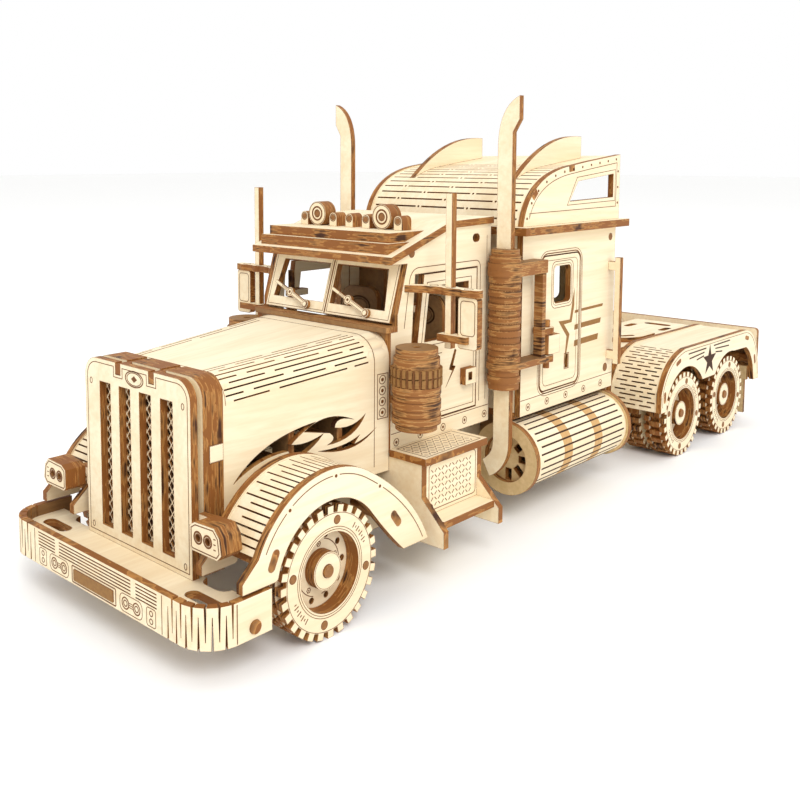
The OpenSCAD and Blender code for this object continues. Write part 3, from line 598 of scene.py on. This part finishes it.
def make_grille():
    lattice = Batch("grille_lattice", face=PLY_OF["all"], edge=PLY_OF[""], slot="ply_dark")
    cuts = []
    for x in SLOTS:
        for row in range(27):
            for column in ((-1, 1) if row % 2 else (-2, 0, 2)):
                cuts.append(oval((x + 1.05 * column, 20.2 + 1.4 * row), 0.82, 1.08, 4))
    lattice.slab(rect(-20.5, 17, 20.5, 60), cuts, on_front(-140.5), -0.5, -0.05)
    # A near-black sheet behind the grille: painted shade seen through the grille's holes.
    back = Batch("grille_shade_sheet", face=HOLE_SHADE_LOOK, slot="ply_dark")
    back.prism(rect(-17.9, 19.1, 17.9, 58.4), on_front(-134.2), -0.4, 0)
    back.done()
    lattice.done("grille_mesh")
    face = on_front(GRILLE_FACE)
    marks = Batch("grille_marks")
    border = [(-20.9, 17.2), (20.9, 17.2)] + arc((17, 57.6), 3.9, 0, 90, 6)
    border += [(8.9, 61.5), (8.9, 58.9), (5.1, 58.9), (5.1, 61.5)]
    border += [(-5.1, 61.5), (-5.1, 58.9), (-8.9, 58.9), (-8.9, 61.5)] + arc((-17, 57.6), 3.9, 90, 180, 6)
    marks.line(border, face, 0.18, True)
    for across, width in ((3.7, 0.3), (3.0, 0.2)):
        marks.line(oval((0, 59.6), across, across * 0.52), face, width, True)
    marks.prism(oval((0, 59.6), 1.2, 0.8, 4), face, -0.02, 0.08)
    for x, z in ((19.2, 56.4), (-19.2, 56.4), (19.4, 18.6), (-19.4, 18.6)):
        marks.line(oval((x, z), 0.5, 0.75, 16), face, 0.18, True)
    marks.done()
    tenons = Batch("grille_tenons", face=PLY_OF[""], edge=PLY_OF[""])
    for x in (-7, 7):
        tenons.prism(rect(x - 1.0, 59.75, x + 1.0, 62.3), face, -9, -0.05)
    tenons.done()


def make_pods():
    face = on_front(-146.5)
    marks = Batch("pod_marks")
    for s in (1, -1):
        outline = [(27.4, 26.8), (35.8, 26.8), (36.7, 27.9), (36.2, 31.1),
                   (34.7, 32.6), (28.4, 32.3), (27.0, 31.4), (27.0, 27.2)]
        marks.line([(s * x, z) for x, z in outline], face, 0.22, True)
        for x in (29.4, 32.8):
            marks.ring((s * x, 29.6), 1.35, face, 0.4)
            marks.ring((s * x, 29.6), 0.85, face, 0.22)
        for z in (28.4, 29.6, 30.8):
            marks.line([(s * 35.2 - 0.35, z), (s * 35.2 + 0.35, z)], face, 0.22)
    marks.done()


# ---- fenders ----

def front_fender_path():
    centre = (0, 0)
    points = arc(centre, 25, 156, 60, 32) + bezier((12.5, 21.65), (30, 11.5), (36, -2), 16)
    return Path([(y - 117, z + 16) for y, z in points])


def rear_fender_path():
    points = [(56, 20), (56, 27)] + bezier((56, 27), (60, 39.5), (75, 41.5), 16) + [(133, 41)]
    return Path(points + bezier((133, 41), (148, 40.5), (150, 18), 16))


def make_front_fenders():
    path = front_fender_path()
    skins = sheet_batch("front_fender_sheets")
    cuts = []
    for i in range(int((path.length - 3) / 1.85)):
        s = 1.8 + 1.85 * i
        cuts.append(rect(31.6 if i % 2 else 28.6, s - 0.2, 39.85, s + 0.2))
    for side in (1, -1):
        skins.slab(rect(28.02, 0, 39.96, path.length), cuts, on_path(side, path), -1.88, -0.4, step=1.5)
    skins.done("front_fender_skins")
    marks = Batch("front_fender_marks")
    for side in (1, -1):
        outer = on_side(side, 42)
        for start, end in ((1.5, 12), (14.5, 29), (31.5, 47), (49.5, path.length - 2)):
            marks.line([tuple(path.at(s, -1.7)) for s in np.linspace(start, end, 16)], outer, 0.2)
        for s in (13.2, 30.2, 48.2):
            marks.prism(circle(path.at(s, -1.9), 0.42, 12), outer, -0.02, 0.06)
    marks.done()


def make_rear_fenders():
    path = rear_fender_path()
    skins = sheet_batch("rear_fender_sheets")
    cuts = []
    rows = [1.6 + 1.75 * i for i in range(17)] + [path.length - 3 - 1.75 * i for i in range(15)]
    for i, s in enumerate(rows):
        dashes = ((22.2, 26.6), (28.4, 33.6), (35.2, 38.2)) if i % 2 else ((24.2, 30.6), (32.2, 36.8))
        cuts += [rect(a, s - 0.26, b, s + 0.26) for a, b in dashes]
    for side in (1, -1):
        skins.slab(rect(21.02, 0, 38.96, path.length), cuts, on_path(side, path), -1.88, -0.4, step=1.8)
    skins.done("rear_fender_skins")
    # The star and the lines beside it are near black: painted shade seen through cuts in the fender.
    marks = Batch("rear_fender_star", face=HOLE_SHADE_LOOK, slot="ply_dark")
    lines = Batch("rear_fender_marks")
    for side in (1, -1):
        outer = on_side(side, 41)
        marks.prism(star((97.5, 33.8), 6.2, 2.4), outer, -0.02, 0.05)
        for reach, z in ((16, 39.0), (13.5, 37.6), (6.5, 36.2)):
            for way in (1, -1):
                start = 97.5 + way * (3.6 if z > 38 else 5.2 if z > 37 else 5.6)
                marks.line([(start, z), (start + way * reach, z - 0.6 * (z < 39))], outer, 0.5)
        lines.line([tuple(path.at(s, -1.1)) for s in np.linspace(2, path.length - 2, 60)], outer, 0.16)
    marks.done()
    lines.done()


# ---- wheels ----

def make_wheel_marks(name, body, y, face_x, hub_x, cap_x, tip_x, dish):
    """Rings, pegs and nuts on both outer wheels of one axle."""
    lines = Batch(name + "_wheel_marks", body)
    pegs = Batch(name + "_wheel_pegs", body, face=PEG_LOOK, slot="ply_dark")
    middle = (y, 16)
    for side in (1, -1):
        wall, hub, cap = on_side(side, face_x), on_side(side, hub_x), on_side(side, cap_x)
        lines.ring(middle, dish + 0.55, wall, 0.14)
        lines.ring(middle, dish + 1.15, wall, 0.14)
        lines.ring(middle, 14.05, wall, 0.13)
        for turn in (80, 170, 260, 350):
            spot = polar(middle, 12.4, turn)
            pegs.prism(circle(spot, 0.95, 18), wall, -0.3, 0.08)
            lines.ring(spot, 1.05, wall, 0.14, 0.07)
        for start in (20, 200):
            for i in range(8):
                turn = start + 4.2 * i
                reach = (11.5, 12.9) if i % 2 else (11.9, 12.5)
                lines.line([polar(middle, r, turn) for r in reach], wall, 0.26)
        for start in (8, 98, 188, 278):
            lines.line(arc(middle, 6.85, start, start + 66, 12), hub, 0.22)
        for turn in range(18, 378, 72):
            nut = polar(middle, 5.75, turn)
            lines.line(circle(nut, 0.62, 6), hub, 0.2, True)
            lines.prism(circle(nut, 0.22, 8), hub, -0.02, 0.06)
        lines.ring(middle, 4.25, cap, 0.1)
        pegs.prism(circle(middle, 1.46, 24), on_side(side, tip_x), -0.5, 0.06)
        lines.ring(middle, 1.62, cap, 0.16)
    lines.done()
    pegs.done()


def make_wheels():
    make_wheel_marks("front", "front_axle", -117, 41.48, 37.48, 40.48, 41, 9.6)
    for number, y in ((1, 77), (2, 118)):
        make_wheel_marks(f"rear_{number}", f"rear_axle_{number}", y, 39.98, 33.98, 38.98, 39.6, 9.8)


# ---- cab ----

SCREEN_TILT = 17.6
SCREEN_FOOT = (-77.3, 68.2)


def make_cab_marks():
    lines = Batch("cab_marks")
    pegs = Batch("cab_pegs", face=PEG_LOOK, slot="ply_dark")
    for s in (1, -1):
        side = on_side(s, 27 - 0.02)
        lines.line([(-78.6, 38.0), (-33.3, 38.0)], side, 0.2)
        for y in (-76.4, -66, -55.6, -45.2, -35.2):
            lines.rivet((y, 35.4), side, 1.05)
        edge = [(-38.2, 40), (-38.2, 80.6)] + arc((-40.4, 80.6), 2.2, 0, 90, 4) + [(-67.4, 82.8)]
        edge += bezier((-67.4, 82.8), (-70.4, 82.6), (-71.2, 79.6), 5) + [(-73.4, 66.5)]
        lines.line(edge, side, 0.22)
        pegs.prism(circle((-70.4, 87), 1.06), side, -0.6, 0.04)
        lines.ring((-70.4, 87), 1.2, side, 0.16)
        lines.line([(-35.0, 40), (-35.0, 90)], side, 0.14)
    lines.ring((0, 0), 0.1, on_screen, 0.05)
    lines.line([(0, 0.2), (0, 17.0)], on_screen, 0.45)
    for s in (1, -1):
        pane = [(0.75, 0.7), (24.3, 0.7), (24.3, 16.6), (0.75, 16.6)]
        lines.line([(s * u, v) for u, v in pane], on_screen, 0.14, True)
        for x in (-13, 13):
            seat = on_front(-48.0)
            lines.line(oval((x, 66), 4.4, 2.9), seat, 0.4, True)
            lines.line(oval((x, 66), 3.4, 2.1), seat, 0.2, True)
    lines.done()
    pegs.done()
    for s, word in ((1, "left"), (-1, "right")):
        door = Batch(f"cab_door_marks_{word}", f"cab_door_{word}")
        side = on_side(s, 27 - 0.02)
        door.line([(-65.9, 60.3), (-63.4, 78.3), (-42.7, 78.3), (-42.7, 60.3)], side, 0.2, True)
        door.line([(-66.6, 58.2), (-61, 58.2), (-60, 57.4), (-56.5, 57.4)], side, 0.2)
        door.line([(-66.3, 40.2), (-66.3, 57), (-65.4, 57.8)], side, 0.16)
        door.line([(-41.2, 57.8), (-41.2, 40.2)], side, 0.16)
        door.line([(-66.3, 40.2), (-41.2, 40.2)], side, 0.16)
        door.done()
        wiper = Batch(f"wiper_marks_{word}", f"wiper_{word}")
        pivot = (16.5 if s > 0 else 16.5 - 23.8, 1.7)

        def on_arm(u, v, w):
            turn = math.radians(158)
            x = pivot[0] + u * math.cos(turn) - v * math.sin(turn)
            y = pivot[1] + u * math.sin(turn) + v * math.cos(turn)
            return on_screen(x, y, w + 1.15)

        wiper.ring((8, 0), 1.05, on_arm, 0.18)
        wiper.prism(circle((8, 0), 0.42, 12), on_arm, -0.02, 0.06)
        wiper.ring((0, 0), 1.0, on_arm, 0.16)
        for v in (-0.4, 0.4):
            wiper.line([(1.3, v), (6.6, v)], on_arm, 0.12)
        for i in range(5):
            wiper.line([(9.8 + 0.55 * i, -0.42), (9.8 + 0.55 * i, 0.42)], on_arm, 0.13)
        wiper.done()


def make_lamp_marks():
    lines = Batch("roof_lamp_marks")
    hearts = Batch("roof_lamp_hearts", face=PEG_LOOK, slot="ply_dark")
    big, small = on_front(-67), on_front(-66.72)
    for x in (-13, 13):
        lines.ring((x, 96.2), 3.3, big, 0.18)
        lines.ring((x, 96.2), 2.0, big, 0.5)
        hearts.prism(circle((x, 96.2), 0.98, 18), big, -0.7, -0.1)
        lines.ring((x, 96.2), 1.15, big, 0.2)
    for x in (-18.8, -6.6, 0, 6.6, 18.8):
        lines.ring((x, 95.2), 1.1, small, 0.2)
        hearts.prism(circle((x, 95.2), 0.85, 16), small, -0.02, 0.06)
    lines.done()
    hearts.done()


def make_mirror_marks():
    lines = Batch("mirror_marks")
    faces = Batch("mirror_faces", face=PLY_OF["all"], edge=BURN_LOOK, slot="ply_face")
    for s in (1, -1):
        for place in (on_front(-69), on_back(-67)):
            faces.prism([(s * x, z) for x, z in rounded(41.9, 62.6, 48.1, 76.3, 0.9)], place, -0.02, 0.04)
        front = on_front(-69)
        lines.line([(s * x, z) for x, z in rounded(42.7, 66.2, 47.3, 75.4, 1)], front, 0.2, True, 0.08)
        top = on_top(78.48)
        for x in (33, 38.5, 44.5):
            lines.ring((s * x, -68), 1.2, top, 0.16)
    lines.done()
    faces.done()


# ---- sleeper and fairing ----

def fairing_path():
    points = [(-24, 92)] + bezier((-24, 92), (-21.5, 107), (1, 110.2), 20) + [(14, 111.8), (36, 114.2)]
    return Path(points)


def make_sleeper_marks():
    lines = Batch("sleeper_marks")
    pegs = Batch("sleeper_pegs", face=PEG_LOOK, slot="ply_dark")
    stripes = Batch("sleeper_stripes", face=STRIPE_LOOK)
    for s in (1, -1):
        side = on_side(s, 32.48)
        lines.line([(-23.8, 38.0), (33.8, 38.0)], side, 0.2)
        for y in (-19.5, -8.5, 3, 14.5, 26):
            lines.rivet((y, 35.4), side, 1.1)
        for grow, width in ((0.9, 0.35), (1.7, 0.18)):
            lines.line(rounded(-12.8 - grow, 39 - grow, 10.2 + grow, 82 + grow, 3 + grow), side, width, True)
        for y, z, r in ((29, 40.5, 1.26), (30.5, 86, 1.06)):
            pegs.prism(circle((y, z), r), side, -0.6, 0.04)
            lines.ring((y, z), r + 0.14, side, 0.16)
        for z, end, thick in ((62.8, 26.5, 0.9), (57.6, 25.2, 1.7), (52.2, 23.6, 2.0)):
            stripes.prism([(12.1, z - thick / 2 - 0.2), (end - 0.5, z - thick / 2), (end, z + thick / 2),
                           (12.1, z + thick / 2 - 0.2)], side, -0.02, 0.05)
    lines.done()
    pegs.done()
    stripes.done()
    for s, word in ((1, "left"), (-1, "right")):
        side = on_side(s, 32.48)
        door = Batch(f"sleeper_door_marks_{word}", f"sleeper_door_{word}")
        door.line(rounded(-11.4, 40.4, 8.8, 80.6, 2), side, 0.16, True)
        door.line(rounded(-6.1, 65.9, 5.2, 79.1, 1.8), side, 0.16, True)
        door.line(rounded(-7.0, 65.0, 6.1, 80.0, 2.2), side, 0.2, True)
        door.line([(4.4, 44.2), (4.4, 49.3), (1.6, 49.3), (1.6, 44.2)], side, 0.2, True)
        door.done()
        half = Batch(f"sleeper_door_star_{word}", f"sleeper_door_{word}", face=STRIPE_LOOK)
        outer = [(7.2, 70.5), (4.6, 60.2), (-2.4, 60.4), (2.8, 54.9), (1.4, 44.6)]
        inner = [(2.9, 49.6), (4.6, 55.4), (1.0, 59.0), (5.8, 59.2), (7.2, 64.6)]
        half.slab(outer + inner, (), side, -0.02, 0.05)
        for z, thick in ((62.8, 0.9), (57.6, 1.7), (52.2, 2.0)):
            half.prism([(7.6, z - thick / 2 - 0.4), (9.9, z - thick / 2 - 0.3), (9.9, z + thick / 2 - 0.3),
                        (7.8, z + thick / 2 - 0.4)], side, -0.02, 0.05)
        half.done()


def make_fairing():
    path = fairing_path()
    cuts = []
    for i in range(14):
        s = 2.4 + 2.9 * i
        if i % 2:
            cuts += [rect(a, s - 0.26, b, s + 0.26) for a, b in ((-29, -11.2), (-8.8, 8.8), (11.2, 29))]
            cuts += [circle((x, s), 0.4, 10) for x in (-10, 10)]
        else:
            spans = ((-29.4, -21.2), (-18.8, -1.2), (1.2, 18.8), (21.2, 29.4))
            cuts += [rect(a, s - 0.26, b, s + 0.26) for a, b in spans]
            cuts += [circle((x, s), 0.4, 10) for x in (-20, 0, 20)]
    sheet = sheet_batch("fairing_sheet")

    def place(u, v, w):
        y, z = path.at(v, w)
        return (u, y, max(z, 92.02))

    sheet.slab(rect(-30.48, 0, 30.46, path.length), cuts, place, -1.88, -0.4, step=2.0)
    sheet.done("fairing_skin")
    lines = Batch("fairing_marks")
    tenons = Batch("fairing_tenons", face=PLY_OF[""], edge=PLY_OF[""])
    for s in (1, -1):
        side = on_side(s, 32.48)
        upper = [tuple(path.at(v, -2.6)) for v in np.linspace(3.5, path.length - 2.5, 26)]
        lines.line(upper + [(33.4, 96.4), (-20.6, 96.0)], side, 0.2, True)
        for v in np.linspace(3, path.length - 3, 12):
            lines.prism(circle(path.at(v, -1.35), 0.42, 10), side, -0.02, 0.06)
        for z in (97.6, 103, 108.4):
            lines.prism(circle((34.7, z), 0.42, 10), side, -0.02, 0.06)
        window = [(1.4, 97.8), (7.3, 106.7), (32.8, 109.0), (32.8, 98.4)]
        lines.line(window, side, 0.18, True)
        for v in (12, 36):
            corners = ((-1.7, -1.9), (1.7, -1.9), (1.7, -0.02), (-1.7, -0.02))
            tenons.prism([tuple(path.at(v + dv, w)) for dv, w in corners], side, -0.02, 0.06)
    lines.done()
    tenons.done()


# ---- tanks and boxes ----

TANK_CENTRE = (30, 20.4)
TANK_RADIUS = 10.6


def make_tank_marks():
    # Near-black lines between the tank's strips: painted shade in the gaps.
    gaps = Batch("tank_gaps", face=HOLE_SHADE_LOOK, slot="ply_dark")
    bands = Batch("tank_bands", face=TOAST_LOOK)
    for s in (1, -1):
        def place(u, v, w):
            x, z = polar(TANK_CENTRE, TANK_RADIUS + w, v)
            return (s * x, u, z)

        for i in range(30):
            turn = 12 * i
            ends = (-23.6, 27.4) if i % 2 else (-22.6, 28.4)
            gaps.line([(ends[0], turn), (ends[1], turn)], place, 2.9, False, 0.05)
        for y in (-10.5, 8.5):
            for turn in range(0, 360, 6):
                bands.prism(rect(y, turn, y + 5, turn + 6), place, -0.02, 0.025)
    gaps.done()
    bands.done()


def around(centre, side):
    """u round an upright stack in degrees, v up, on a radius that the caller adds as w."""
    return lambda u, v, w: (side * (centre[0] + w * math.cos(math.radians(u))),
                            centre[1] + w * math.sin(math.radians(u)), v)


def add_band(batch, place, radius, low, high, start=0, end=360, thick=0.07):
    """A thin band round a stack, or a stretch of one, as a ring of short closed pieces."""
    count = max(1, round((end - start) / 10))
    for i in range(count):
        a, b = (start + (end - start) * k / count for k in (i, i + 1))
        batch.prism(rect(a, low, b, high), place, radius - 0.05, radius + thick)


def make_stack_marks():
    """Dark joints between the discs of the mufflers and air cleaners, and the cleaners' row of rods."""
    joints = Batch("stack_joints", slot="ply_dark")
    rods = Batch("cleaner_rods", face=STRIPE_LOOK, slot="ply_dark")
    for s in (1, -1):
        muffler, cleaner = around((32.3, -33), s), around((34.4, -77), s)
        for i in range(1, 13):
            add_band(joints, muffler, 4.84, 52 + 2 * i - 0.2, 52 + 2 * i + 0.16)
        for i in range(5):
            add_band(joints, cleaner, 6.52, 43 + 2 * i - 0.2, 43 + 2 * i + 0.16)
        for i in range(24):
            add_band(joints, cleaner, 6.62, 53.2, 57.8, 15 * i, 15 * i + 5)
            add_band(rods, cleaner, 6.7, 53.2, 55.3, 15 * i + 6, 15 * i + 14, 0.2)
            add_band(rods, cleaner, 6.7, 55.7, 57.8, 15 * i + 6, 15 * i + 14, 0.2)
    joints.done()
    rods.done()


def tread_dashes(lines, place, x0, y0, x1, y1, pitch=1.55):
    """Short bars leaning both ways in turn, as on tread plate."""
    for i in range(int((x1 - x0) / pitch)):
        for j in range(int((y1 - y0) / pitch)):
            x, y = x0 + (i + 0.5) * pitch, y0 + (j + 0.5) * pitch
            lean = 0.42 if (i + j) % 2 else -0.42
            lines.line([(x - 0.42, y - lean), (x + 0.42, y + lean)], place, 0.24)


def make_box_edges():
    """Burnt edges of the step box's lid and end plates."""
    edges = Batch("toolbox_edges", face=PLY_OF[""], edge=PLY_OF[""])
    outline = Path([(38, 32), (38, 23), (45.5, 15.5), (45.5, 11)])
    for s in (1, -1):
        edges.prism(rect(-79.2, 32.05, -51.5, 33.95), on_side(s, 39.6), -0.02, 0.05)
        edges.prism([(s * x, z) for x, z in rect(27.1, 32.05, 39.6, 33.95)], on_front(-79.3), -0.02, 0.05)
        for y in (-78.85, -53.95):
            for start, end in zip(outline.marks, outline.marks[1:]):
                def place(u, v, w):
                    a, b = outline.at(start + 0.001), outline.at(end - 0.001)
                    way = (b - a).normalized()
                    point = a.lerp(b, v) + Vector((-way.y, way.x)) * w
                    return (s * point.x, y + u, point.y)
                edges.prism(rect(0, 0, 1.9, 1), place, -0.02, 0.05)
    edges.done()


def make_box_marks():
    lines = Batch("toolbox_marks")
    for s in (1, -1):
        front, lid = on_side(s, 37.98), on_top(34.0)
        lines.line(rounded(-75.8, 18.6, -54.8, 31.2, 1.2), front, 0.2, True)
        tread_dashes(lines, front, -75.2, 19.2, -55.2, 30.8)
        lines.line([(s * x, y) for x, y in rect(28.2, -77.6, 38.6, -53.4)], lid, 0.2, True)
        if s > 0:
            tread_dashes(lines, lid, 28.8, -77, 38.2, -54)
        else:
            tread_dashes(lines, lid, -38.2, -77, -28.8, -54)
    lines.done()


make_hood()
make_bumper()
make_grille()
make_pods()
make_front_fenders()
make_rear_fenders()
make_wheels()
make_cab_marks()
make_lamp_marks()
make_mirror_marks()
make_sleeper_marks()
make_fairing()
make_tank_marks()
make_box_marks()
make_box_edges()
make_stack_marks()


# ---- floor, light and camera ----

def plain(name, colour):
    material = bpy.data.materials.new(name)
    material.use_nodes = True
    shader = material.node_tree.nodes["Principled BSDF"]
    shader.inputs["Base Color"].default_value = colour
    shader.inputs["Roughness"].default_value = 0.9
    shader.inputs["Specular IOR Level"].default_value = 0.1
    return material


def make_floor():
    mesh = bpy.data.meshes.new("floor")
    w = 6.0
    mesh.from_pydata([(-w, -w, 0), (w, -w, 0), (w, w, 0), (-w, w, 0)], [], [(0, 1, 2, 3)])
    mesh.materials.append(plain("floor_white", (0.97, 0.97, 0.96, 1)))
    floor = bpy.data.objects.new("floor", mesh)
    bpy.context.scene.collection.objects.link(floor)


def area_light(name, place, size, watts, colour=(1, 1, 1)):
    light = bpy.data.lights.new(name, "AREA")
    light.shape = "DISK"
    light.size = size
    light.energy = watts
    light.color = colour
    lamp = bpy.data.objects.new(name, light)
    lamp.location = place
    lamp.rotation_euler = (Vector((0, 0, 0.05)) - Vector(place)).to_track_quat("-Z", "Y").to_euler()
    bpy.context.scene.collection.objects.link(lamp)


def make_camera():
    """Sees the truck's front and left side; the shift takes the place of tilting the camera down."""
    azimuth, elevation = math.radians(44.04), math.radians(5.45)
    data = bpy.data.cameras.new("camera")
    data.sensor_width = 36
    data.lens = 36 * 954 / 800
    data.shift_x = 0.0814
    data.shift_y = -0.1875
    data.clip_start = 0.01
    data.clip_end = 50
    camera = bpy.data.objects.new("camera", data)
    camera.location = (0.19227, -0.27153, 0.11264)
    camera.rotation_euler = (math.pi / 2 - elevation, 0, azimuth)
    bpy.context.scene.collection.objects.link(camera)
    bpy.context.scene.camera = camera


def make_world():
    world = bpy.data.worlds.new("studio")
    world.use_nodes = True
    world.node_tree.nodes["Background"].inputs["Color"].default_value = (1, 1, 1, 1)
    world.node_tree.nodes["Background"].inputs["Strength"].default_value = 1.0
    bpy.context.scene.world = world


make_floor()
make_world()
bpy.context.scene.view_settings.view_transform = "Standard"
area_light("key", (0.9, -0.6, 1.0), 0.6, 9)
area_light("fill", (-0.9, -0.9, 0.8), 1.2, 1.5)
area_light("back", (0.5, 1.1, 0.9), 1.2, 2)
make_camera()

bpy.context.view_layer.update()
